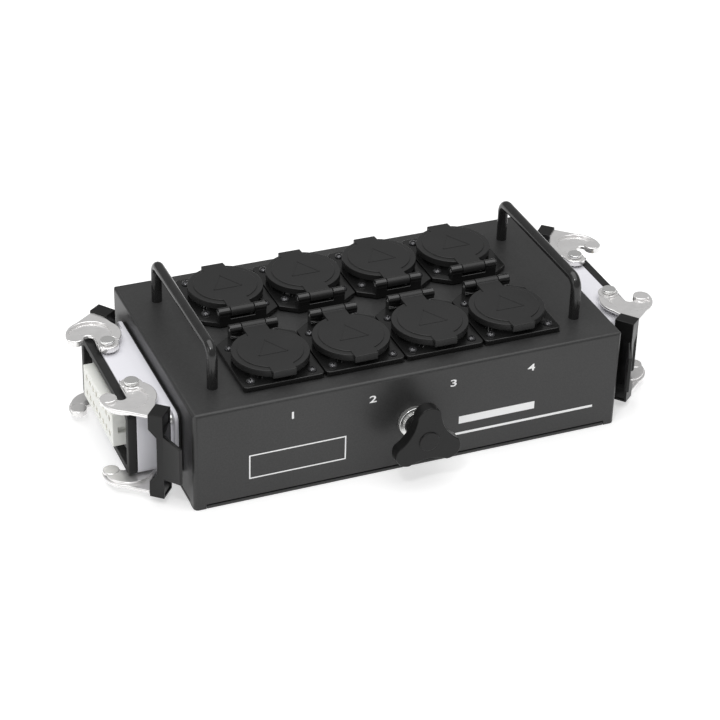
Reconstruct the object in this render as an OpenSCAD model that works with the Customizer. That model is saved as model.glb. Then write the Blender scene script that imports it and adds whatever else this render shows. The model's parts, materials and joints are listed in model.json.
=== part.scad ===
// Portable power distribution box: folded steel enclosure with two rows of
// spring-lidded earthed sockets, a locking multi-pole connector on each end,
// two carry handles and a threaded clamp knob on the front wall.
// Millimetres, +Z up, origin at the centre of the underside.

/* [Enclosure] */
// Length of the enclosure
L = 273; // [260:1:290]
// Depth of the enclosure
W = 156; // [150:1:160]
// Height of the enclosure
H = 65.6; // [60:0.1:75]
// Sheet thickness
t = 1.5; // [1:0.1:2]
// Base plate thickness
tb = 2; // [1.5:0.1:3]

/* [Sockets] */
// Distance between socket centres along a row
pitch = 50.8; // [50.5:0.1:56]
// Distance of each row from the middle
row = 40; // [40:0.5:42]
// Cup radius
cup_r = 19.7; // [19.5:0.1:20]
// Cup depth below the collar
cup_d = 17.5; // [17:0.1:18]
// Lid radius
lid_r = 23.2; // [23:0.1:24]

/* [Handles] */
// Rod diameter
rod = 6.5; // [6:0.5:8]
// Height of the handle's top above the panel
grip_h = 29.6; // [28:0.2:34]
// Distance between posts
post = 104; // [100:1:108]

/* [End connectors] */
// Housing width
cw = 95.5; // [93:0.1:96]
// Housing height
ch = 43; // [42:0.1:44]

/* [Clamp knob] */
// Height of the knob's axis
kz = 33; // [30:1:36]
// Thread radius
kr = 4; // [4:1:5]

/* [Hidden] */
$fn = 32;
cz = 32.5;            // middle height of the end connectors
px0 = 156;            // lever pivots
py0 = 23.8;
hx = 116.2;           // handle planes
hin = -30;            // hinge line behind a socket's centre
hw = 9.4;             // hinge height above the panel
cy = 1;               // the connectors sit a little behind the middle
fl = 114;             // length of the housings' flange

// ---------- helpers ----------
module rr(a,b,r){ // rounded rectangle centred on the origin
  square([a-2*r,b],center=true); square([a,b-2*r],center=true);
  for(x=[-1,1],y=[-1,1]) translate([x*(a/2-r),y*(b/2-r)]) circle(r);
}
module cyl(r,z0,z1){ translate([0,0,z0]) cylinder(r=r,h=z1-z0); }
module along_x(x0,x1){ translate([x0,0,0]) rotate([90,0,90]) linear_extrude(x1-x0) children(); }
module at_socket(i){ // 1..4 front row from the left, 5..8 rear row from the left
  x = ((i-1)%4-1.5)*pitch;
  translate([x,i<=4?-row:row,H]) rotate(i<=4?180:0) children();
}
module side(s){ if(s>0) children(); else mirror([1,0,0]) children(); }
module flange_holes(){ for(y=[-51.5,51.5],z=[-16,16]) translate([y,z]) children(); }
module connector(s){ translate([0,cy,0]) side(s) children(); }
module lever_at(sx,sy,turn=0){ translate([0,cy,0]) side(sx) if(sy>0) swung(turn) children(); else mirror([0,1,0]) swung(turn) children(); }
module swung(turn){ translate([px0,py0,0]) rotate([0,0,turn]) translate([-px0,-py0,0]) children(); }

// ---------- enclosure ----------
module shell_block(a,b,h,r,e){ // box with rounded upright corners and rounded top bends
  intersection(){
    linear_extrude(h) rr(a,b,r);
    rotate([90,0,0]) translate([0,0,-b/2-1]) linear_extrude(b+2)
      union(){ translate([-a/2,-1]) square([a,h-e+1]); translate([-a/2+e,0]) square([a-2*e,h]);
               for(x=[-1,1]) translate([x*(a/2-e),h-e]) circle(e); }
    rotate([90,0,90]) translate([0,0,-a/2-1]) linear_extrude(a+2)
      union(){ translate([-b/2,-1]) square([b,h-e+1]); translate([-b/2+e,0]) square([b-2*e,h]);
               for(x=[-1,1]) translate([x*(b/2-e),h-e]) circle(e); }
  }
}
module enclosure_shell() color([0.13,0.13,0.14]) {
  difference(){
    shell_block(L,W,H,3,2.2);
    translate([0,0,-1]) linear_extrude(H-t+1) rr(L-2*t,W-2*t,1.6);
    // long relief slots along the lower edges, where the base plate's tabs sit
    translate([-129,-W/2-1,-1]) cube([258,W+2,tb+2]);
    translate([-L/2-1,-70,-1]) cube([L+2,140,tb+2]);
    for(i=[1:8]) at_socket(i){ cyl(22.2,-t-1,1); for(x=[-19,19],y=[-19,19]) translate([x,y,0]) cyl(1.7,-t-1,1); }
    for(x=[-hx,hx],y=[-post/2,post/2]) translate([x,y,0]) cyl(2.2,H-t-1,H+1);
    for(s=[-1,1]) side(s) translate([L/2-t-1,0,cz]) along_x(0,t+2){
      translate([cy,0]) { square([80,30],center=true); flange_holes() circle(2.2); } }
    translate([0,-W/2+t+1,kz]) rotate([90,0,0]) cylinder(r=6.6,h=t+2);
  }
  // corner tabs the base plate is screwed to
  for(x=[-1,1],y=[-1,1]) difference(){
    translate([x>0?L/2-t-17:-L/2+t-0.5,y>0?W/2-t-17:-W/2+t-0.5,tb+0.2]) cube([17.5,17.5,2]);
    translate([x*(L/2-12),y*(W/2-12),0]) cyl(1.55,0,6);
    translate([x*(L/2-1.5-17.5),y*(W/2-1.5-17.5),0]) rotate(45) cube([8,8,20],center=true);
    }
}
module base_plate() color([0.14,0.14,0.15]) difference(){
  union(){
    linear_extrude(tb) rr(L-2*t-0.6,W-2*t-0.6,1.4);
    translate([-128.7,-W/2+0.15,0]) cube([257.4,W-0.3,tb]);
    translate([-L/2+0.15,-69.7,0]) cube([L-0.3,139.4,tb]);
  }
  for(x=[-1,1],y=[-1,1]) translate([x*(L/2-12),y*(W/2-12),0]){
    cyl(1.7,-1,tb+1); translate([0,0,-0.01]) cylinder(r1=3.1,r2=1.7,h=1.7); }
}
module base_plate_screws() color([0.25,0.25,0.26])
  for(x=[-1,1],y=[-1,1]) translate([x*(L/2-12),y*(W/2-12),0])
    difference(){
      union(){ translate([0,0,0.12]) cylinder(r1=2.85,r2=1.5,h=1.5); cyl(1.5,0.12,6.2); }
      rotate(45) translate([-1.8,-0.35,0]) cube([3.6,0.7,0.8]); rotate(-45) translate([-1.8,-0.35,0]) cube([3.6,0.7,0.8]);
    }

// ---------- handles ----------
module handle(s) color([0.06,0.06,0.065]) translate([s*hx,0,0]) {
  r=rod/2; b=9; zt=H+grip_h-r;
  difference(){
    union(){
      for(k=[-1,1]){
        translate([0,k*post/2,0]) cyl(r,H,zt-b);
        translate([0,k*(post/2-b),zt-b]) rotate([90,0,k>0?90:-90]) rotate_extrude(angle=90) translate([b,0]) circle(r);
      }
      translate([0,post/2-b,zt]) rotate([90,0,0]) cylinder(r=r,h=post-2*b);
    }
    for(k=[-1,1]) translate([0,k*post/2,0]) cyl(2.05,H-1,H+11);
  }
}
module handle_screws() color([0.6,0.6,0.6])
  for(x=[-hx,hx],y=[-post/2,post/2]) translate([x,y,0]) {
    cyl(2,H-t-2,H+9); 
    difference(){ cyl(3.5,H-t-1-2.6,H-t-0.05-0.9); translate([0,0,H-t-3.7]) cylinder(r=1.5,h=1.6,$fn=6); }
    cyl(4.5,H-t-0.95,H-t-0.05);
  }

// ---------- sockets ----------
module flange2d(){
  difference(){
    union(){ translate([0,-1]) square([50,48],center=true); translate([0,1]) square([44,48],center=true);
             for(x=[-22,22]) translate([x,22]) circle(3);
             polygon([[-25,-25],[25,-25],[14.5,-32.6],[-14.5,-32.6]]); }
    for(x=[-19,19],y=[-19,19]) translate([x,y]) circle(1.7);
  }
}
module socket_body() color([0.05,0.05,0.055]) difference(){
  union(){
    translate([0,0,0.8]) linear_extrude(2.8) flange2d();
    cyl(21.8,-30,7.8);
    // hinge block with the two outer knuckles
    translate([-15.1,-32.6,0.8]) cube([30.2,6.2,4.8]);
    for(s=[-1,1]) translate([s>0?7.7:-15.1,0,0]){
      translate([0,hin-2.6,0.8]) cube([7.4,5.2,hw-0.8]);
      translate([0,hin,hw]) rotate([0,90,0]) cylinder(r=3.1,h=7.4);
    }
  }
  cyl(cup_r,7.8-cup_d,9);
  translate([-20,hin,hw]) rotate([0,90,0]) cylinder(r=1.27,h=40);
  for(s=[-1,1]){
    translate([s*9.5,0,0]){ cyl(2.7,-14,-9); cyl(3.6,-27,-12.5); translate([-2.6,-2.6,-31]) cube([5.2,5.2,5]); }
    translate([-3.2,s>0?16.6:-20.2,-13]) cube([6.4,3.6,5]);
    translate([-2.4,s>0?14.8:-17.2,-31]) cube([4.8,2.4,20]);
  }
}
module guide_ribs() color([0.05,0.05,0.055]) for(s=[-1,1]) intersection(){
  translate([s>0?17.6:-20,-2.5,7.8-cup_d-0.1]) cube([2.4,5,12]); cyl(cup_r+0.2,-20,8); }
module socket_lid() color([0.10,0.10,0.105]) difference(){
  union(){
    difference(){ cyl(lid_r,6,10.2); cyl(22.3,5,8.7); }
    cyl(19.6,8.7,10.8);
    // strap from the hinge to the tab
    translate([-7.4,hin-1.2,8.3]) cube([14.8,8.9,2.5]);
    translate([-7.4,-24,8.7]) cube([14.8,47,2.1]);
    translate([-7.2,22,8.7]) cube([14.4,2.9,2.1]);
    translate([-7.2,23.3,6.2]) cube([14.4,1.6,3.1]);
    translate([-7.4,hin,hw]) rotate([0,90,0]) cylinder(r=3.1,h=14.8);
  }
  translate([-20,hin,hw]) rotate([0,90,0]) cylinder(r=1.31,h=40);
  translate([-3.2,hin,hw]) rotate([0,90,0]) cylinder(r=2.45,h=6.4);
}
module lid_seal() color([0.03,0.03,0.03]) difference(){ cyl(22.1,7.85,8.65); cyl(20.2,7,9); }
module hinge_pins() color([0.7,0.7,0.7]) for(i=[1:8]) at_socket(i)
  translate([-14.8,hin,hw]) rotate([0,90,0]) cylinder(r=1.25,h=29.6);
module lid_springs() color([0.6,0.6,0.6]) for(i=[1:8]) at_socket(i)
  translate([-2.9,hin,hw]) rotate([0,90,0]) difference(){ cylinder(r=2.15,h=5.8); translate([0,0,-1]) cylinder(r=1.45,h=8); }
module socket_gaskets() color([0.02,0.02,0.02]) for(i=[1:8]) at_socket(i) linear_extrude(0.8) difference(){
  square([49,49],center=true); circle(22); for(x=[-19,19],y=[-19,19]) translate([x,y]) circle(1.7); }
module socket_screws() color([0.08,0.08,0.08]) for(i=[1:8]) at_socket(i) for(x=[-19,19],y=[-19,19]) translate([x,y,0]) {
  $fn=20; cyl(1.5,-6.5,3.7);
  difference(){ cyl(2.8,3.6,5.5); translate([-1.7,-0.35,4.7]) cube([3.4,0.7,1]); translate([-0.35,-1.7,4.7]) cube([0.7,3.4,1]); }
}
module socket_nuts() color([0.6,0.6,0.6]) for(i=[1:8]) at_socket(i) for(x=[-19,19],y=[-19,19]) translate([x,y,0])
  difference(){ translate([0,0,-t-2.45]) cylinder(r=3.1,h=2.4,$fn=6); translate([0,0,-t-3]) cylinder(r=1.53,h=4,$fn=16); }
module earth_clips() color([0.75,0.62,0.35]) for(i=[1:8]) at_socket(i) for(s=[-1,1]) mirror([0,s>0?0:1,0]) {
  translate([-2,15.2,-30]) cube([4,1.6,18.2]);
  translate([-2,15.2,-12]) cube([4,4.1,0.8]);
  translate([-2,18.5,-12]) cube([4,0.8,14]);
}
module socket_contacts() color([0.75,0.62,0.35]) for(i=[1:8]) at_socket(i) for(s=[-1,1]) translate([s*9.5,0,0]) {
  $fn=16; difference(){ cyl(3.2,-26.5,-12.8); cyl(2.35,-24,-12); }
  translate([-2.2,-2.2,-32]) cube([4.4,4.4,5.8]); }

// ---------- end connectors (drawn for the right end) ----------
module housing() color([0.80,0.80,0.84]) translate([0,0,cz]) difference(){
  union(){
    difference(){ along_x(138,160.5) rr(cw,ch,4); along_x(142,161) rr(cw-7,ch-7,2.5); }
    along_x(138,140.6) rr(fl,ch,5);
    along_x(138,142) rr(cw,ch,4);
  }
  along_x(137,142.1) square([66,24],center=true);
  flange_holes2() along_x(137,143) circle(2.2);
  for(y=[-34.6,34.6],z=[-11.4,11.4]) along_x(137,142.1) translate([y,z]) circle(1.55);
  for(y=[-py0,py0],z=[-1,1]) translate([px0,y,z>0?ch/2-3.6:-ch/2-1]) cylinder(r=2.5,h=4.6);
}
module flange_holes2(){ for(y=[-51.5,51.5],z=[-16,16]) translate([0,y,z]) children(); }
module flange_gasket() translate([0,0,cz]) difference(){ along_x(L/2,138) rr(fl-1.5,ch-1.5,4.4); along_x(L/2-1,139) square([80,30],center=true);
  flange_holes2() along_x(L/2-1,139) circle(2.2); }
module rim_gasket() along_x(160.5,165.9) translate([0,cz]) difference(){ rr(cw,ch,4); rr(cw-9.6,ch-9.6,2); }
module housing_screw_set() translate([0,0,cz]) flange_holes2() {
  $fn=24; along_x(L/2-t-4,140.7) circle(2);
  difference(){ along_x(140.6,142.6) circle(3.3); for(k=[0,90]) translate([141.8,0,0]) rotate([k,0,0]) translate([0,-0.45,-2.2]) cube([2,0.9,4.4]); }
  along_x(L/2-t-3.2,L/2-t-0.05) circle(3.6,$fn=6); }
module insert_female() color([0.78,0.80,0.74]) translate([0,0,cz]) difference(){
  union(){ along_x(142,146) rr(76,29,2); along_x(138.4,170) rr(60,22,1); }
  for(k=[-3.5:1:3.5],z=[-5.2,5.2]) translate([0,k*6.6,z]) { $fn=16; along_x(138,171) circle(1.9); }
  for(s=[-1,1]) translate([158,s>0?27.4:-30.6,-2]) cube([8.6,3.2,4]);
  for(y=[-34.6,34.6],z=[-11.4,11.4]) along_x(141,147) translate([y,z]) circle(1.6);
}
module insert_male() color([0.78,0.80,0.74]) translate([0,0,cz]) difference(){
  union(){ along_x(142,146) rr(76,29,2); along_x(138.4,151) rr(60,22,1); }
  for(k=[-3.5:1:3.5],z=[-5.2,5.2]) translate([0,k*6.6,z]) { $fn=16; along_x(138,152) circle(1.9); }
  for(y=[-34.6,34.6],z=[-11.4,11.4]) along_x(141,147) translate([y,z]) circle(1.6);
}
module contact_set(male) color([0.75,0.75,0.72]) translate([0,0,cz]) for(k=[-3.5:1:3.5],z=[-5.2,5.2]) translate([0,k*6.6,z]) {
  $fn=16;
  if(male){ along_x(136,150.5) circle(1.85); along_x(150,164) circle(1.2); }
  else difference(){ along_x(136,168.6) circle(1.85); along_x(150,169) circle(1.25); }
}
module insert_screw_set() translate([0,0,cz]) for(y=[-34.6,34.6],z=[-11.4,11.4]) translate([0,y,z]) {
  $fn=20; along_x(138.3,146.1) circle(1.5); difference(){ along_x(146,148) circle(2.75); translate([147.3,-0.35,-1.7]) cube([1,0.7,3.4]); translate([147.3,-1.7,-0.35]) cube([1,3.4,0.7]); } }
module pivot_pin_set() for(y=[-py0,py0]) translate([px0,y,cz]) for(z=[0,1]) mirror([0,0,z]) {
  cyl(2.45,ch/2-3.2,ch/2+0.1); cyl(4.3,ch/2+0.05,ch/2+1.1); cyl(3,ch/2,ch/2+5.7); cyl(4.4,ch/2+5.65,ch/2+7.8);
  }

// ---------- locking levers, drawn open for the right rear pivot ----------
ea=[0.643,0.766]; eb=[-0.766,0.643];
Cc=[1.9,37.0];                                   // outer corner of the grip's block
function blk(s,a)=[Cc[0]+s*eb[0]-a*ea[0],Cc[1]+s*eb[1]-a*ea[1]];
module arm_outline(){
  difference(){
    union(){
      translate([5.7,12.1]) circle(16.8,$fn=64);
      circle(6.8);
      polygon([[17.7,23.3],blk(0,0.6),blk(0,11.4),[-10.9,14.8],[5,12]]);
      polygon([blk(-1,1.6),blk(6.5,1.6),blk(6.5,10.4),blk(-1,10.4)]);
    }
    translate([6.1,-12]) square([6.6,22]);
    translate([9.4,9.9]) circle(3.3);
    translate([12.6,-12]) square([14,20.4]);
  }
  translate([17.1,10.7]) circle(5);
}
module arm(){ // top arm; the recess faces outwards
  difference(){
    union(){
      translate([0,0,57.6]) linear_extrude(2.1) arm_outline();
      translate([0,0,55.8]) linear_extrude(2.4) intersection(){ arm_outline(); union(){ translate([6.9,13.2]) circle(14.2,$fn=64); circle(6.8); } }
      translate([17.1,10.7,0]) cyl(5,55.6,59.7);
    }
    difference(){
      translate([7.3,13.9,0]) cyl(12.5,58.2,61);
      translate([17.1,10.7,0]) cyl(5.01,50,60);
      cyl(5.6,50,59.4);
    }
    cyl(6.81,59.4,61);
    cyl(3.05,50,62);
  }
}
module lever_arms() color([0.72,0.70,0.66]) translate([px0,py0,0]) {
  arm(); translate([0,0,2*cz]) mirror([0,0,1]) arm(); }
module grip2(){ // block, slanted shoulders and upright column, seen along its width
  polygon([[0,61],[9.2,61],[9.2,4],[0,4],[0,14.5],[4.9,19.5],[4.9,45.5],[0,50.5]]); }
module lever_grip() color([0.05,0.05,0.05]) translate([px0,py0,0]) difference(){
  union(){
    multmatrix([[eb[0],0,-ea[0],Cc[0]],[eb[1],0,-ea[1],Cc[1]],[0,1,0,0],[0,0,0,1]]) linear_extrude(12.4) grip2();
    // finger web
    translate([blk(9.2,0)[0],blk(9.2,0)[1],0]) rotate(115.5) rotate([90,0,0]) mirror([0,0,1]) linear_extrude(2.2)
      polygon([[-2.5,17],[13.6,20.3],[13.6,44.7],[-2.5,48]]);
  }
  for(z=[0,1]) translate([0,0,z*2*cz]) mirror([0,0,z])
    translate([0,0,57.55]) linear_extrude(2.2) polygon([blk(-3,1.5),blk(6.6,1.5),blk(6.6,10.5),blk(-3,10.5)]);
}

// ---------- clamp knob, axis along -Y ----------
module on_front(y0,y1){ translate([0,-y0,kz]) rotate([90,0,0]) linear_extrude(y1-y0) children(); }
module clamp_bush() color([0.75,0.75,0.73]) difference(){
  union(){ on_front(W/2,W/2+3.4) circle(10,$fn=48); on_front(W/2-8,W/2+0.1) circle(6.5); }
  on_front(W/2-9,W/2+4) circle(kr+0.06);
}
module clamp_washer() color([0.7,0.7,0.7]) on_front(W/2+3.5,W/2+4.7) difference(){ circle(7.6); circle(kr+0.06); }
module clamp_stud() color([0.7,0.7,0.7]) on_front(W/2-24,W/2+20) circle(kr);
module knob2d(){
  difference(){
    union(){ for(k=[90,210,330]) translate([14.5*cos(k),14.5*sin(k)]) circle(8);
      polygon([for(k=[90,210,330],d=[-60,60]) [14.5*cos(k)+8*cos(k+d),14.5*sin(k)+8*sin(k+d)]]); }
    for(k=[30,150,270]) translate([38.4*cos(k),38.4*sin(k)]) circle(26,$fn=96);
  }
}
module clamp_knob() color([0.04,0.04,0.04]) difference(){
  union(){
    on_front(W/2+16.4,W/2+24) knob2d();
    on_front(W/2+4.75,W/2+16.5) circle(7.5);
    on_front(W/2+23.9,W/2+24.8) circle(8.4);
  }
  on_front(W/2+4,W/2+20.2) circle(kr+0.03);
}

// ---------- wiring ----------
module wiring_loom() color([0.1,0.1,0.1]) {
  $fn=20;
  translate([0,0,20]) along_x(-122,122) circle(6);
  for(s=[-1,1]) translate([s*122,0,20]){ sphere(6); rotate([0,s*48,0]) cylinder(r=5,h=13); }
  for(x=[-1.5,-0.5,0.5,1.5]) translate([x*pitch,0,20]) rotate([90,0,0]) translate([0,0,-row]) cylinder(r=2.5,h=2*row);
  for(x=[-1.5,-0.5,0.5,1.5],y=[-1,1]) translate([x*pitch,y*row,20]){ sphere(2.5); cylinder(r=2.5,h=12.6); }
}

// ---------- one line for each node ----------
enclosure_shell();
base_plate();
base_plate_screws();
handle(-1);  // handle_left
handle(1);  // handle_right
handle_screws();
for(i=[1:8]) at_socket(i) { socket_body(); guide_ribs(); }
for(i=[1:8]) at_socket(i) socket_lid();
for(i=[1:8]) at_socket(i) lid_seal();
hinge_pins();
lid_springs();
socket_gaskets();
socket_screws();
socket_nuts();
earth_clips();
socket_contacts();
connector(-1) housing();  // connector_housing_left
connector(1) housing();  // connector_housing_right
color([0.02,0.02,0.02]) for(s=[-1,1]) connector(s) flange_gasket();  // flange_gaskets
color([0.03,0.03,0.03]) for(s=[-1,1]) connector(s) rim_gasket();  // rim_gaskets
color([0.6,0.6,0.6]) for(s=[-1,1]) connector(s) housing_screw_set();  // housing_screws
connector(-1) insert_female();  // insert_left
connector(1) insert_male();  // insert_right
union() { connector(-1) contact_set(false); connector(1) contact_set(true); }  // insert_contacts
color([0.7,0.7,0.7]) for(s=[-1,1]) connector(s) insert_screw_set();  // insert_screws
color([0.8,0.8,0.8]) for(s=[-1,1]) connector(s) pivot_pin_set();  // lever_pivot_pins
lever_at(-1,-1) lever_arms();  // lever_arms_left_front
lever_at(-1,1,2.9) lever_arms();  // lever_arms_left_rear
lever_at(1,-1) lever_arms();  // lever_arms_right_front
lever_at(1,1,-2.9) lever_arms();  // lever_arms_right_rear
lever_at(-1,-1) lever_grip();  // lever_grip_left_front
lever_at(-1,1,2.9) lever_grip();  // lever_grip_left_rear
lever_at(1,-1) lever_grip();  // lever_grip_right_front
lever_at(1,1,-2.9) lever_grip();  // lever_grip_right_rear
clamp_bush();
clamp_washer();
clamp_stud();
clamp_knob();
wiring_loom();
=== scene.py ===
# %% [markdown]
# # A portable power distribution box, dressed for its picture
# The box is already designed: its bodies, joints and sizes come packed in a frame, which stays fixed.
# This lesson adds what a solid model leaves out: softened edges that catch the light, pressed and
# moulded detail, small hardware, printed marks, and a finish for every material.
# The first cell loads the frame and the record that comes with it.

# %% Load the frame
import json
import math
import random
import bmesh
import bpy
from mathutils import Matrix, Vector


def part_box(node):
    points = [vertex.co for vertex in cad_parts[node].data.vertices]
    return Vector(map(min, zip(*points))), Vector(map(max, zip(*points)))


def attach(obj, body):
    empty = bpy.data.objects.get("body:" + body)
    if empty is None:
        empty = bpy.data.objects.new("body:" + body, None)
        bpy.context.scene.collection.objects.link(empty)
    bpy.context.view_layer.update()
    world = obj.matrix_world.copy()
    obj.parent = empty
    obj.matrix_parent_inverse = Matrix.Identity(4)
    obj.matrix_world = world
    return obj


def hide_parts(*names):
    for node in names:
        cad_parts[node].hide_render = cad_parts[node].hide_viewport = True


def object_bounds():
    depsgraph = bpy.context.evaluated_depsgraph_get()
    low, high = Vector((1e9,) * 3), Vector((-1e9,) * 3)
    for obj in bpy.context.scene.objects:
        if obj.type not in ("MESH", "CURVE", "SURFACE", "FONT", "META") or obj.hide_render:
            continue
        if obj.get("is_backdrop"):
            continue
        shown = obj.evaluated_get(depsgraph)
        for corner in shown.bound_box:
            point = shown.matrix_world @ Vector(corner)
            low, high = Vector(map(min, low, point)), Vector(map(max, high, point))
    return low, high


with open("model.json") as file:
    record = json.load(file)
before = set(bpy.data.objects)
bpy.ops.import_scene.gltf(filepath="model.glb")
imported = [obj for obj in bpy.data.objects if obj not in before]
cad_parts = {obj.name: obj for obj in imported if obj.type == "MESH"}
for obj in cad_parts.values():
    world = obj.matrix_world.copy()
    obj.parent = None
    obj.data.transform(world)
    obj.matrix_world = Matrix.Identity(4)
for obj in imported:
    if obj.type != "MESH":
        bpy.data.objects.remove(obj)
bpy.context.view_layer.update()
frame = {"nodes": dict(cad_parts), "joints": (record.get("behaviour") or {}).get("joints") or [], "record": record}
RECORD = frame["record"]
MM = 0.001                                   # the frame is in metres, and sizes below are in millimetres
BODY_OF = {node: body for body, nodes in RECORD["behaviour"]["bodies"].items() for node in nodes}
HINGE = {joint["child"]: Vector(joint.get("pos_m", (0, 0, 0))) for joint in frame["joints"]}
SLOT = {part["node"]: part["material_slot"] for part in RECORD["subparts"]}
OUTLETS = range(1, 9)

# %% [markdown]
# ## The camera
# A long lens from front left and above shows the top panel, the front wall and the left connector
# together, as a catalogue view does. The camera is set first because everything later is judged
# through it. Its direction is an azimuth and an elevation, and a slight roll keeps the uprights true.

# %% Set the camera
AZIMUTH, ELEVATION, ROLL = (math.radians(a) for a in (-22.994, 32.180, 1.735))
AWAY, LEFTWARDS, UPWARDS = 1438.55, 1.30, 24.21          # from the frame's origin to the camera
FOCAL_LENGTH, SENSOR = 114.93, 36.0
back = Vector((math.sin(AZIMUTH) * math.cos(ELEVATION),
               -math.cos(AZIMUTH) * math.cos(ELEVATION), math.sin(ELEVATION)))
level = Vector((math.cos(AZIMUTH), math.sin(AZIMUTH), 0))
rise = back.cross(level)
side = level * math.cos(ROLL) + rise * math.sin(ROLL)
top = rise * math.cos(ROLL) - level * math.sin(ROLL)
lens = bpy.data.cameras.new("camera")
lens.lens, lens.sensor_width = FOCAL_LENGTH, SENSOR
lens.clip_start, lens.clip_end = 0.05, 20.0
camera = bpy.data.objects.new("camera", lens)
stand = (back * AWAY - side * LEFTWARDS + top * UPWARDS) * MM
camera.matrix_world = Matrix.Translation(stand) @ Matrix((side, top, back)).transposed().to_4x4()
bpy.context.scene.collection.objects.link(camera)
bpy.context.scene.camera = camera
print("camera at", [round(x, 3) for x in camera.location])

# %% [markdown]
# ## Floor and light
# A wide soft box straight above lights the top faces evenly and draws a bright line along every
# upper bend. A weak lamp far to the left fills the end wall, and a small hard one in front puts
# sparks on rods and screws. The pale floor throws light back up, which fills the walls. The sky is
# only a dim grey: low behind the box it is what the black top panel mirrors, so it stays dark.

# %% Lay the floor and hang the lights
FLOOR_REACH, FLOOR_DROP = 9.0, 0.0002        # metres; the floor lies a hair below the box
LAMPS = {                                    # place and size in metres, then watts
    "overhead": ((0.0, -0.05, 1.5), (2.0, 2.0), 27.0),
    "left_fill": ((-2.1, -0.4, 0.8), (0.9, 1.0), 4.0),
    "sparkle": ((-0.55, -0.75, 1.25), (0.12, 0.12), 3.0),
}
LAMP_TARGET = Vector((0, 0, 0.03))
SKY_STRENGTH = 0.30


def link(obj):
    bpy.context.scene.collection.objects.link(obj)
    return obj


floor_mesh = bpy.data.meshes.new("floor")
square = ((-1, -1), (1, -1), (1, 1), (-1, 1))
spread = [(a * FLOOR_REACH, b * FLOOR_REACH, -FLOOR_DROP) for a, b in square]
floor_mesh.from_pydata(spread, [], [(0, 1, 2, 3)])
link(bpy.data.objects.new("floor", floor_mesh))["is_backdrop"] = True

for name, (place, size, watts) in LAMPS.items():
    data = bpy.data.lights.new(name, "AREA")
    data.shape, data.size, data.size_y, data.energy = "RECTANGLE", size[0], size[1], watts
    lamp = link(bpy.data.objects.new(name, data))
    lamp.location = place
    lamp.rotation_euler = (LAMP_TARGET - lamp.location).to_track_quat("-Z", "Y").to_euler()

sky = bpy.data.worlds.new("sky")
sky.use_nodes = True
sky.node_tree.nodes["Background"].inputs["Color"].default_value = (1.0, 1.0, 1.0, 1)
sky.node_tree.nodes["Background"].inputs["Strength"].default_value = SKY_STRENGTH
bpy.context.scene.world = sky
bpy.context.scene.view_settings.view_transform = "Standard"
print(len(LAMPS), "lamps and a dim sky")

# %% [markdown]
# ## Writing shader maths as Python
# A finish is a small calculation made at every point of a surface. Math nodes can be wired by hand,
# but the sum soon hides in the wiring. Here one small class wraps an output socket, and Python's
# operators add the Math nodes, so that `0.4 + 0.2 * grain` is the node tree.

# %% A socket that does arithmetic
class Value:
    """One output socket of a finish, which adds and multiplies as a number does."""

    def __init__(self, finish, socket):
        self.finish, self.socket = finish, socket

    def calculate(self, operation, other):
        return self.finish.node("ShaderNodeMath", {0: self, 1: other}, operation=operation)

    def __add__(self, other):
        return self.calculate("ADD", other)

    def __radd__(self, other):
        return self.calculate("ADD", other)

    def __rmul__(self, factor):
        return self.calculate("MULTIPLY", factor)


class Finish:
    """A material with one Principled shader, and one method that adds any node."""

    def __init__(self, name, **fixed):
        self.material = bpy.data.materials.new(name)
        self.material.use_nodes = True
        self.tree = self.material.node_tree
        self.shader = self.tree.nodes["Principled BSDF"]
        for socket, value in fixed.items():
            self.shader.inputs[socket.replace("_", " ")].default_value = value
        self.place = self.node("ShaderNodeTexCoord", out="Object")

    def node(self, kind, sockets=None, out=0, **settings):
        """Add a node, choose its settings, and feed each socket a plain value or a Value."""
        made = self.tree.nodes.new(kind)
        for key, value in settings.items():
            setattr(made, key, value)
        for key, value in (sockets or {}).items():
            if isinstance(value, Value):
                self.tree.links.new(value.socket, made.inputs[key])
            else:
                made.inputs[key].default_value = value
        return Value(self, made.outputs[out])

    def set(self, socket, value):
        self.tree.links.new(value.socket, self.shader.inputs[socket])

    def noise(self, size_mm, detail, stretch=(1, 1, 1)):
        """Soft random values from 0 to 1, in patches of about size_mm, stretched along the axes."""
        place = self.node("ShaderNodeMapping", {"Vector": self.place, "Scale": stretch})
        sockets = {"Vector": place, "Scale": 1 / (size_mm * MM), "Detail": detail}
        return self.node("ShaderNodeTexNoise", sockets)

    def tint(self, mask, low, high):
        """A colour from low to high as mask goes from 0 to 1."""
        sockets = {"Factor": mask, 6: (*low, 1), 7: (*high, 1)}          # 6 and 7 are the node's two colours
        return self.node("ShaderNodeMix", sockets, out=2, data_type="RGBA")

    def bump(self, height, depth_mm, strength):
        """Tilt the surface as if it rose by depth_mm where height goes from 0 to 1."""
        sockets = {"Height": height, "Distance": depth_mm * MM, "Strength": strength}
        self.set("Normal", self.node("ShaderNodeBump", sockets))


print("finishes are built from", Finish.__name__, "and", Value.__name__)

# %% [markdown]
# ## The finishes
# Powder coat is a baked skin with a fine orange-peel: tiny soft hills that scatter the light, seen
# close up as a grain and far off as a satin sheen. The hills drive a Bump node. They and a much
# wider noise also move the roughness a little, as real coats are never even.

# %% Powder coat and painted rod
def grey(level, tint=(1, 1, 1)):
    return tuple(level * t for t in tint)


FINISH = {}

coat = Finish("powder_coat", Specular_IOR_Level=0.38)
peel = coat.noise(0.55, 3)
cloud = coat.noise(45, 3)
speck = coat.noise(1.1, 4)
coat.set("Base Color", coat.tint(0.35 * cloud + 0.65 * speck, grey(0.012), grey(0.048)))
coat.set("Roughness", 0.29 + 0.10 * cloud + 0.08 * peel)
coat.bump(peel, 0.035, 0.55)
FINISH["powder_coat"] = coat

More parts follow.
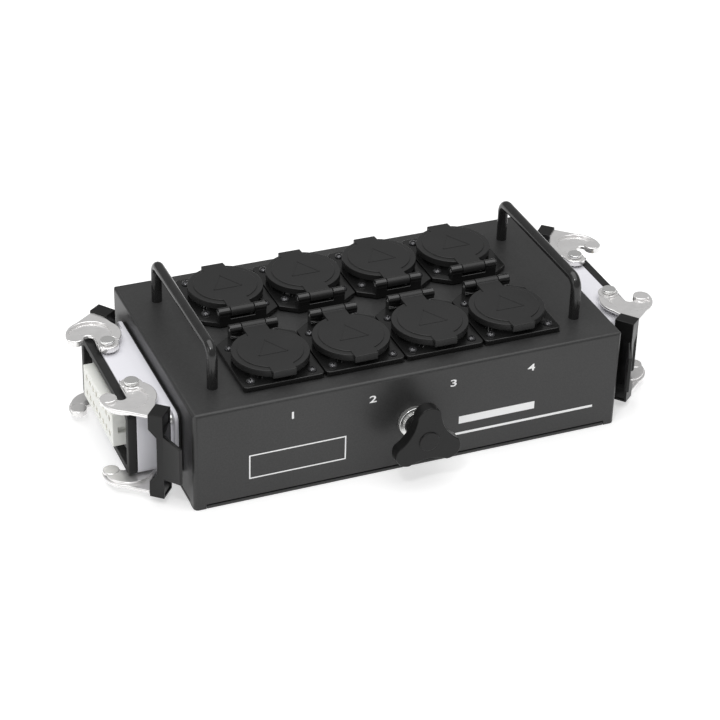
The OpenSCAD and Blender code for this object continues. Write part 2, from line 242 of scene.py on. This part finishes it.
rod_paint = Finish("handle_paint")
drift = rod_paint.noise(6, 2)
rod_paint.set("Base Color", rod_paint.tint(drift, grey(0.012), grey(0.020)))
rod_paint.set("Roughness", 0.15 + 0.10 * drift)
rod_paint.bump(rod_paint.noise(0.4, 2), 0.012, 0.4)
FINISH["handle_paint"] = rod_paint
print("painted finishes:", list(FINISH))

# %% [markdown]
# ## Moulded plastics and rubber
# Moulded plastic copies its mould. The lids come from a spark-eroded mould, which leaves an even,
# pebbly satin; the socket bodies are smoother and reflect more. The pale housings are satin too,
# with faint flow marks. One function makes them all from a colour, a grain and a gloss.

# %% Plastics and rubber
FLOW_MM, FLOW_STRETCH = 30, (1, 1.6, 0.7)
COOL, WARM = (1, 0.995, 1.05), (1, 1.01, 0.96)


def moulded(name, low, high, rough, grain_mm, depth_mm, shine=0.5):
    made = Finish(name, Specular_IOR_Level=shine)
    grain = made.noise(grain_mm, 2)
    flow = made.noise(FLOW_MM, 2, FLOW_STRETCH)
    made.set("Base Color", made.tint(0.5 * grain + 0.5 * flow, low, high))
    made.set("Roughness", rough - 0.05 + 0.06 * grain + 0.08 * flow)
    made.bump(grain, depth_mm, 0.5)
    FINISH[name] = made


moulded("socket_plastic", grey(0.005), grey(0.009), 0.19, 0.5, 0.010)
moulded("lid_plastic", grey(0.013), grey(0.020), 0.37, 0.42, 0.030, shine=0.32)
moulded("rubber_black", grey(0.010), grey(0.017), 0.54, 0.7, 0.030, shine=0.27)
moulded("housing_grey", grey(0.68, COOL), grey(0.74, COOL), 0.38, 0.6, 0.008)
moulded("insert_grey", grey(0.82, WARM), grey(0.88, WARM), 0.46, 0.6, 0.012)
moulded("grip_plastic", grey(0.006), grey(0.010), 0.28, 0.6, 0.012, shine=0.27)
moulded("knob_plastic", grey(0.006), grey(0.010), 0.28, 0.8, 0.008, shine=0.25)
moulded("wire", grey(0.015), grey(0.025), 0.45, 1.2, 0.010)
print("finishes so far:", len(FINISH))

# %% [markdown]
# ## Metals
# Pressed stainless steel is tumbled smooth: bright, a little warm, with soft scratches. Zinc plate
# on screws is greyer and cloudier. Brass contacts are drawn, so their marks run along them. Only the
# brass is fully metallic. The others fall a little short of it, which keeps their dark sides grey.
#
# Two finishes stand apart from the box's materials. The ink is for the printed marks. The floor's
# paint glows a little, which keeps the shadows on it faint.

# %% Metals, ink and the floor's paint
def metal(name, low, high, rough, mark_mm, depth_mm, stretch=(1, 1, 1), metallic=1.0):
    made = Finish(name, Metallic=metallic)
    marks = made.noise(mark_mm, 4, stretch)
    cloud = made.noise(9, 3)
    made.set("Base Color", made.tint(0.5 * cloud + 0.5 * marks, low, high))
    made.set("Roughness", rough - 0.06 + 0.07 * marks + 0.09 * cloud)
    made.bump(marks, depth_mm, 0.5)
    FINISH[name] = made


metal("lever_steel", (0.76, 0.75, 0.745), (1.0, 0.99, 0.985), 0.21, 2.2, 0.005, (1, 2.5, 1), metallic=0.70)
metal("zinc_steel", (0.74, 0.74, 0.73), (0.86, 0.86, 0.85), 0.20, 1.2, 0.004, metallic=0.85)
metal("contact_brass", (0.62, 0.48, 0.24), (0.78, 0.64, 0.36), 0.30, 0.8, 0.010, (0.3, 1, 1))
metal("black_screw", (0.040, 0.040, 0.042), (0.080, 0.080, 0.084), 0.13, 0.6, 0.010, metallic=0.6)

ink = Finish("white_ink", Roughness=0.55)
ink.set("Base Color", ink.tint(ink.noise(0.5, 2), grey(0.80), grey(0.92)))
FINISH["white_ink"] = ink
floor_paint = Finish("floor_paint", Roughness=0.9, Emission_Color=(1, 1, 1, 1), Emission_Strength=0.50)
floor_paint.set("Base Color", floor_paint.tint(floor_paint.noise(400, 1), grey(0.62), grey(0.64)))
floor_mesh.materials.append(floor_paint.material)

for node, obj in frame["nodes"].items():
    obj.data.materials.clear()
    obj.data.materials.append(FINISH[SLOT[node]].material)
print("every node has a finish:", len(frame["nodes"]), "nodes,", len(FINISH), "finishes")

# %% [markdown]
# ## From solid model to made thing
# A solid model has edges sharper than any real part. A moulded, pressed or turned edge is always a
# little round, and that roundness is what draws the thin bright lines in a product picture. The
# helpers below copy a node, merge its loose triangles, join the flat areas, and bevel only the
# outward edges. Weighted normals then keep the wide faces flat while the bevels shade smoothly.

# %% Helpers that turn a copy of a node into a finished piece
FLAT, CORNER = math.radians(0.4), math.radians(42)
SHARP, BEVEL_STEPS = math.radians(34), 2
DOUBLES = 0.002 * MM


def bake(piece):
    """Keep what the modifiers made, as a plain mesh."""
    graph = bpy.context.evaluated_depsgraph_get()
    made = piece.evaluated_get(graph)
    mesh = bpy.data.meshes.new_from_object(made, preserve_all_data_layers=True, depsgraph=graph)
    piece.modifiers.clear()
    piece.data = mesh
    return piece


def placed(piece, body, slot, nodes=()):
    """Give a piece its finish if it has none, hang it on its body, and hide the nodes it stands in for."""
    if not piece.data.materials:
        piece.data.materials.append(FINISH[slot].material)
    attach(piece, body)
    if nodes:
        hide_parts(*nodes)
    return piece


def welded(node):
    """A bmesh copy of a node, with its doubles merged and its flat areas joined."""
    bm = bmesh.new()
    bm.from_mesh(frame["nodes"][node].data)
    bmesh.ops.remove_doubles(bm, verts=bm.verts[:], dist=DOUBLES)
    bmesh.ops.dissolve_limit(bm, angle_limit=FLAT, verts=bm.verts[:], edges=bm.edges[:])
    return bm


def soften(bm, width_mm):
    """Bevel every sharp outward edge, and keep the result inside the old box."""
    edges = [e for e in bm.edges if e.is_manifold and e.calc_face_angle_signed(0) > SHARP]
    lo = [min(v.co[k] for v in bm.verts) for k in range(3)]
    hi = [max(v.co[k] for v in bm.verts) for k in range(3)]
    bmesh.ops.bevel(bm, geom=edges, offset=width_mm * MM, offset_type="OFFSET", segments=BEVEL_STEPS,
                    profile=0.5, affect="EDGES", clamp_overlap=False, loop_slide=True)
    for vert in bm.verts:
        vert.co = [min(max(x, a), b) for x, a, b in zip(vert.co, lo, hi)]


def as_piece(bm, name, body, slot, nodes=()):
    """Make a bmesh a smooth-shaded piece whose wide faces stay flat."""
    mesh = bpy.data.meshes.new(name)
    bm.to_mesh(mesh)
    bm.free()
    mesh.shade_smooth()
    mesh.set_sharp_from_angle(angle=CORNER)
    mesh.materials.append(FINISH[slot].material)
    piece = link(bpy.data.objects.new(name, mesh))
    weigh = piece.modifiers.new("weigh", "WEIGHTED_NORMAL")
    weigh.keep_sharp = True
    return placed(bake(piece), body, slot, nodes)


def finished(bm, node):
    """Make a worked copy of a node the piece that stands in for it."""
    as_piece(bm, node + "_finished", BODY_OF[node], SLOT[node], [node])


def block(bm, lo, hi, turn=None):
    """Add a box between two corners, in millimetres, turned by a matrix if given."""
    made = bmesh.ops.create_cube(bm, size=1)["verts"]
    for vert in made:
        vert.co = [(a + b) / 2 + (b - a) * x for a, b, x in zip(lo, hi, vert.co)]
        if turn:
            vert.co = turn @ vert.co
        vert.co *= MM


def carve(bm, cutter):
    """Cut one bmesh out of another."""
    pair = []
    for label, source in (("work", bm), ("cutter", cutter)):
        mesh = bpy.data.meshes.new(label)
        source.to_mesh(mesh)
        pair.append(link(bpy.data.objects.new(label, mesh)))
    cut = pair[0].modifiers.new("cut", "BOOLEAN")
    cut.object, cut.operation = pair[1], "DIFFERENCE"
    bake(pair[0])
    bm.clear()
    bm.from_mesh(pair[0].data)
    cutter.free()
    for obj in pair:
        bpy.data.objects.remove(obj)


print("helpers ready")

# %% [markdown]
# ## Soft edges everywhere
# The width of a bevel says how a part was made: six tenths of a millimetre on pressed levers and
# moulded housings, about four on socket bodies and inserts, and two on the thin hinge pins.

# %% Soften the moulded, pressed and turned parts
CORNERS = ["left_front", "left_rear", "right_front", "right_rear"]
WIDTH = {"enclosure_shell": 0.25, "base_plate": 0.35, "clamp_bush": 0.5, "clamp_washer": 0.2,
         "lever_pivot_pins": 0.45, "housing_screws": 0.35, "rim_gaskets": 0.6, "flange_gaskets": 0.3,
         "connector_housing_left": 0.6, "connector_housing_right": 0.6, "insert_left": 0.35,
         "insert_right": 0.35, "insert_screws": 0.25, "hinge_pins": 0.2, "clamp_stud": 0.4}
WIDTH.update({f"lever_arms_{corner}": 0.6 for corner in CORNERS})
WIDTH.update({f"socket_body_{i}": 0.4 for i in OUTLETS})
for node, width in WIDTH.items():
    copy = welded(node)
    soften(copy, width)
    finished(copy, node)
print(len(WIDTH), "nodes softened")

# %% [markdown]
# ## The clamp knob
# The knob's face carries a low round boss. The boss is drawn in to a slimmer disc before the edges
# are softened, so its rim and the knob's three lobes both end in a fine bright line.

# %% Draw in the boss and soften the knob
BOSS_WAS, BOSS_IS, BOSS_BACK, KNOB_BEVEL = 8.4, 6.3, 0.9, 0.55
RIM_SLACK = 0.1
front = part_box("clamp_knob")[0][1]
stud_lo, stud_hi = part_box("clamp_stud")
axis_x, axis_z = (stud_lo[0] + stud_hi[0]) / 2, (stud_lo[2] + stud_hi[2]) / 2
copy = welded("clamp_knob")
for vert in copy.verts:
    across, up = vert.co.x - axis_x, vert.co.z - axis_z
    on_rim = abs(math.hypot(across, up) / MM - BOSS_WAS) < RIM_SLACK
    if on_rim and vert.co.y < front + BOSS_BACK * MM:
        vert.co.x = axis_x + across * BOSS_IS / BOSS_WAS
        vert.co.z = axis_z + up * BOSS_IS / BOSS_WAS
soften(copy, KNOB_BEVEL)
finished(copy, "clamp_knob")
print("knob softened")

# %% [markdown]
# ## Grips with moulded pockets
# The black grips are hollowed a little at both ends of their broad face, where a moulder saves
# material. The pockets are cut first, so that their rims are softened together with the rest. Each
# grip's pockets are drawn once for the right rear lever, then mirrored and turned about its pivot.

# %% Cut and soften the grips
ALONG, ACROSS = Vector((0.643, 0.766, 0)), Vector((-0.766, 0.643, 0))    # the levers stand 50 degrees open
GRIP_CORNER, GRIP_FACE, GRIP_BEVEL = Vector((1.9, 37.0, 0)), 9.2, 0.4
POCKET_DEEP, POCKET_SIDES, POCKET_ENDS = 0.7, (1.6, 10.8), ((5.6, 13.0), (52.0, 59.4))
REST_TURN = {"left_rear": 2.9, "right_rear": -2.9}                       # these two stand a little askew
grip_axes = Matrix((ACROSS, -ALONG, (0, 0, 1))).transposed().to_4x4()
for corner in CORNERS:
    sx, sy = (-1 if corner.startswith("left") else 1), (-1 if corner.endswith("front") else 1)
    pivot = HINGE[f"lever_{corner}"] / MM
    turn = (Matrix.Translation((pivot.x, pivot.y, 0)) @ Matrix.Diagonal((sx, sy, 1, 1))
            @ Matrix.Rotation(math.radians(REST_TURN.get(corner, 0)), 4, "Z")
            @ Matrix.Translation(GRIP_CORNER) @ grip_axes)
    pockets = bmesh.new()
    for low, high in POCKET_ENDS:
        block(pockets, (GRIP_FACE - POCKET_DEEP, POCKET_SIDES[0], low),
              (GRIP_FACE + 1, POCKET_SIDES[1], high), turn)
    bmesh.ops.recalc_face_normals(pockets, faces=pockets.faces[:])
    copy = welded(f"lever_grip_{corner}")
    carve(copy, pockets)
    soften(copy, GRIP_BEVEL)
    finished(copy, f"lever_grip_{corner}")
print("four grips")

# %% [markdown]
# ## Lids with a raised sign
# Each lid carries a plain raised triangle on its middle disc. It is three thin bars, a seventh of a
# millimetre high: just enough to catch the light. Its tip points the same way on every lid.

# %% Lids and their triangles
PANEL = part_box("enclosure_shell")[1][2] / MM
LID_TOP = PANEL + 10.8
OUTLET_AT = [next(m for m in RECORD["mounts"] if m["name"] == f"outlet_{i}")["pos_m"] for i in OUTLETS]
LID_BEVEL = 0.35
SIGN_SIDE, SIGN_BAR, SIGN_RISE, SIGN_ROOT = 18.0, 0.7, 0.15, 1.0
sign_reach = SIGN_SIDE / math.sqrt(12)       # from the triangle's middle to each side
for i, (x, y, _) in zip(OUTLETS, OUTLET_AT):
    copy = welded(f"lid_{i}")
    soften(copy, LID_BEVEL)
    for spoke in range(3):
        spin = Matrix.Rotation(math.radians(90 + 120 * spoke), 4, "Z")
        block(copy, (-sign_reach - SIGN_BAR / 2, -SIGN_SIDE / 2, LID_TOP - SIGN_ROOT),
              (-sign_reach + SIGN_BAR / 2, SIGN_SIDE / 2, LID_TOP + SIGN_RISE),
              Matrix.Translation((x / MM, y / MM, 0)) @ spin)
    finished(copy, f"lid_{i}")
print("eight lids, each with a sign")

# %% [markdown]
# ## A geometry-nodes builder
# Rods, screws and springs follow rules, so Geometry Nodes can grow them. This class wraps a node
# group the way `Finish` wraps a shader: `add` makes a node and feeds its sockets. Every tree has
# named inputs for its sizes and ends in Realize Instances and Set Material.

# %% Trees that grow parts
class Tree:
    """A geometry-nodes group with named inputs, one method that adds any node, and one that runs it."""

    def __init__(self, name, **inputs):
        self.group = bpy.data.node_groups.new(name, "GeometryNodeTree")
        new_socket = self.group.interface.new_socket
        new_socket("Geometry", in_out="INPUT", socket_type="NodeSocketGeometry")
        for label, value in inputs.items():
            kind = "NodeSocketInt" if isinstance(value, int) else "NodeSocketFloat"
            new_socket(label, in_out="INPUT", socket_type=kind).default_value = value
        new_socket("Geometry", in_out="OUTPUT", socket_type="NodeSocketGeometry")
        self.given = self.group.nodes.new("NodeGroupInput").outputs

    def add(self, kind, sockets=None, **settings):
        """Add a node; a list feeds several links to one socket."""
        made = self.group.nodes.new(kind if kind.startswith("Shader") else "GeometryNode" + kind)
        for key, value in settings.items():
            setattr(made, key, value)
        for key, value in (sockets or {}).items():
            for one in (value if isinstance(value, list) else [value]):
                if isinstance(one, bpy.types.NodeSocket):
                    self.group.links.new(one, made.inputs[key])
                else:
                    made.inputs[key].default_value = one
        return made.outputs[0]

    def vector(self, x, y, z):
        return self.add("ShaderNodeCombineXYZ", {0: x, 1: y, 2: z})

    def times(self, number, factor):
        return self.add("ShaderNodeMath", {0: number, 1: factor}, operation="MULTIPLY")

    def moved(self, geometry, place):
        return self.add("Transform", {"Geometry": geometry, "Translation": place})

    def on_points(self, geometry):
        """Set the geometry on each given point, with that point's turn."""
        turn = self.add("InputNamedAttribute", {"Name": "turn"}, data_type="FLOAT_VECTOR")
        points_in = self.given["Geometry"]
        return self.add("InstanceOnPoints", {"Points": points_in, "Instance": geometry, "Rotation": turn})

    def close(self, geometry, slot):
        real = self.add("RealizeInstances", {0: geometry})
        real = self.add("SetMaterial", {"Geometry": real, "Material": FINISH[slot].material})
        end = self.group.nodes.new("NodeGroupOutput")
        self.group.links.new(real, end.inputs[0])

    def grow(self, name, start, slot, nodes, smooth, **values):
        """Run the tree on a start mesh with these sizes, and keep the result as a piece of the base."""
        piece = link(bpy.data.objects.new(name, start))
        made = piece.modifiers.new(name, "NODES")
        made.node_group = self.group
        for item in self.group.interface.items_tree:
            if item.in_out == "INPUT" and item.name in values:
                made[item.identifier] = values[item.name]
        bake(piece)
        piece.data.shade_smooth()
        piece.data.set_sharp_from_angle(angle=math.radians(smooth))
        return placed(piece, "base", slot, nodes)


def points(places):
    """A mesh of loose points, each with its own turn."""
    mesh = bpy.data.meshes.new("points")
    mesh.from_pydata([place for place, _ in places], [], [])
    turns = mesh.attributes.new("turn", "FLOAT_VECTOR", "POINT")
    for item, (_, turn) in zip(turns.data, places):
        item.vector = turn
    return mesh


print("tree builder ready")

# %% [markdown]
# ## Handles bent from round rod
# Each handle is a path of four points. Fillet Curve rounds its two corners as a bending tool would,
# and Curve to Mesh sweeps the rod's circle along it.

# %% Sweep the handles
bent_rod = Tree("bent_rod", rod_radius=3.25 * MM, bend_radius=6.5 * MM, bend_steps=10, sides=32)
given = bent_rod.given
path = bent_rod.add("MeshToCurve", {"Mesh": given["Geometry"]})
bends = {"Curve": path, "Radius": given["bend_radius"], "Count": given["bend_steps"]}
path = bent_rod.add("FilletCurve", bends, mode="POLY")
ring = bent_rod.add("CurvePrimitiveCircle", {"Resolution": given["sides"], "Radius": given["rod_radius"]})
swept = bent_rod.add("CurveToMesh", {"Curve": path, "Profile Curve": ring, "Fill Caps": True})
bent_rod.close(swept, "handle_paint")
for handle in ("handle_left", "handle_right"):
    lo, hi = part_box(handle)
    r, x = (hi[0] - lo[0]) / 2, (hi[0] + lo[0]) / 2
    near, far, crest = lo[1] + r, hi[1] - r, hi[2] - r
    start = bpy.data.meshes.new("path")
    start.from_pydata([(x, near, lo[2]), (x, near, crest), (x, far, crest), (x, far, lo[2])],
                      [(0, 1), (1, 2), (2, 3)], [])
    bent_rod.grow(handle + "_swept", start, "handle_paint", [handle], smooth=40, rod_radius=r)
print("two handles")

# %% [markdown]
# ## Screws with a cross recess
# A screw is half a flattened ball on a plain shank. Its cross is cut with a boolean inside the tree,
# and the tree sets a copy at every hole. Each copy is turned by a random angle, as no two screws
# stop alike.

# %% Set the flange screws
HOLE, HEAD_HEIGHT, KEPT = 19.0 * MM, 1.9 * MM, 20.0 * MM
screws = Tree("cross_screws", head_radius=2.8 * MM, head_height=HEAD_HEIGHT, shank_radius=1.5 * MM,
              shank_length=10.0 * MM, slot_length=3.3 * MM, slot_width=0.75 * MM, slot_depth=1.1 * MM)
given = screws.given
dome = screws.add("MeshUVSphere", {"Segments": 28, "Rings": 14, "Radius": 1.0})
flattened = screws.vector(given["head_radius"], given["head_radius"], given["head_height"])
dome = screws.add("Transform", {"Geometry": dome, "Scale": flattened})
rod = {"Vertices": 16, "Radius": given["shank_radius"], "Depth": given["shank_length"]}
shank = screws.add("MeshCylinder", rod)
shank = screws.moved(shank, screws.vector(0.0, 0.0, screws.times(given["shank_length"], -0.5)))
upper_half = screws.moved(screws.add("MeshCube", {"Size": (KEPT, KEPT, KEPT)}), (0, 0, KEPT / 2))
head = screws.add("MeshBoolean", {"Mesh": [dome, upper_half]}, operation="INTERSECT")
cuts = []
for length, width in (("slot_length", "slot_width"), ("slot_width", "slot_length")):
    cut = screws.add("MeshCube", {"Size": screws.vector(given[length], given[width], given["slot_depth"])})
    cuts.append(screws.moved(cut, screws.vector(0.0, 0.0, given["head_height"])))
crossed = screws.add("MeshBoolean", {"Mesh 1": head, "Mesh 2": cuts}, operation="DIFFERENCE")
whole = screws.add("JoinGeometry", {"Geometry": [crossed, shank]})
screws.close(screws.on_points(whole), "black_screw")

dice = random.Random(7)
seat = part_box("socket_screws")[1][2] - HEAD_HEIGHT
places = [((x + a * HOLE, y + b * HOLE, seat), (0, 0, dice.uniform(0, math.pi)))
          for x, y, _ in OUTLET_AT for a in (-1, 1) for b in (-1, 1)]
screws.grow("socket_screws_set", points(places), "black_screw", ["socket_screws"], smooth=30)
print(len(places), "screws")

# %% [markdown]
# ## Closing springs
# A closing spring is a helix of thin wire round the hinge pin, between the two knuckles.

# %% Wind the springs
coils = Tree("hinge_coils", turns=6.0, coil_radius=1.78 * MM, wire_radius=0.34 * MM, length=5.0 * MM)
given = coils.given
spiral = coils.add("CurveSpiral", {"Resolution": 18, "Rotations": given["turns"], "Height": given["length"],
                                   "Start Radius": given["coil_radius"], "End Radius": given["coil_radius"]})
spiral = coils.moved(spiral, coils.vector(0.0, 0.0, coils.times(given["length"], -0.5)))
ring = coils.add("CurvePrimitiveCircle", {"Resolution": 8, "Radius": given["wire_radius"]})
wound = coils.add("CurveToMesh", {"Curve": spiral, "Profile Curve": ring, "Fill Caps": True})
coils.close(coils.on_points(wound), "zinc_steel")
places = [(tuple(HINGE[f"lid_{i}_body"]), (0, math.pi / 2, 0)) for i in OUTLETS]
coils.grow("lid_springs_wound", points(places), "zinc_steel", ["lid_springs"], smooth=80)
print(len(places), "springs")

# %% [markdown]
# ## Marks on the front wall
# The four socket columns are numbered above. Lower down stand a plain outlined plate and two plain
# bars. They are printed ink, so they are only a few hundredths of a millimetre thick.

# %% Print the marks
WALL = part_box("enclosure_shell")[0][1] / MM
INK, INK_ROOT = 0.06, 0.02                   # how far the ink stands off the wall, and reaches into it
PLATE_X, PLATE_Z, PLATE_LINE = (-103.0, -42.5), (15.0, 31.5), 0.8
BARS = ((30, 80, 23.4, 28.6), (28, 120, 15.6, 17.2))                     # from x to x, from z to z
DIGIT_X, DIGIT_Z = (-76.2, -26.2, 25.3, 76.3), 51.2
DIGIT_SIZE, DIGIT_STRETCH, DIGIT_BOLDER = 6.6, 1.5, 0.10


def printed(name, bm):
    as_piece(bm, name, "base", "powder_coat")
    bpy.data.objects[name].data.materials[0] = FINISH["white_ink"].material


def bar(bm, x0, x1, z0, z1):
    block(bm, (x0, WALL - INK, z0), (x1, WALL + INK_ROOT, z1))


plate = bmesh.new()
(x0, x1), (z0, z1) = PLATE_X, PLATE_Z
bar(plate, x0, x1, z0, z0 + PLATE_LINE)
bar(plate, x0, x1, z1 - PLATE_LINE, z1)
bar(plate, x0, x0 + PLATE_LINE, z0 + PLATE_LINE, z1 - PLATE_LINE)
bar(plate, x1 - PLATE_LINE, x1, z0 + PLATE_LINE, z1 - PLATE_LINE)
printed("front_plate_outline", plate)

bars = bmesh.new()
for limits in BARS:
    bar(bars, *limits)
printed("front_bars", bars)

digits = bmesh.new()
for number, x in enumerate(DIGIT_X, start=1):
    font = bpy.data.curves.new("digit", "FONT")
    font.body, font.align_x, font.size = str(number), "CENTER", DIGIT_SIZE * MM
    font.extrude, font.offset = INK / 2 * MM, DIGIT_BOLDER * MM
    typed = link(bpy.data.objects.new("digit", font))
    typed.matrix_world = (Matrix.Translation((x * MM, WALL * MM, DIGIT_Z * MM))
                          @ Matrix.Rotation(math.pi / 2, 4, "X") @ Matrix.Scale(DIGIT_STRETCH, 4, (1, 0, 0)))
    bpy.context.view_layer.update()
    flat = bpy.data.meshes.new_from_object(typed.evaluated_get(bpy.context.evaluated_depsgraph_get()))
    flat.transform(typed.matrix_world)
    digits.from_mesh(flat)
    bpy.data.objects.remove(typed)
printed("front_digits", digits)
print("marks printed")

# %% [markdown]
# ## Size and finish
# The last cell measures the box that the finished pieces fill.

# %% Size and finish
lo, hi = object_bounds()
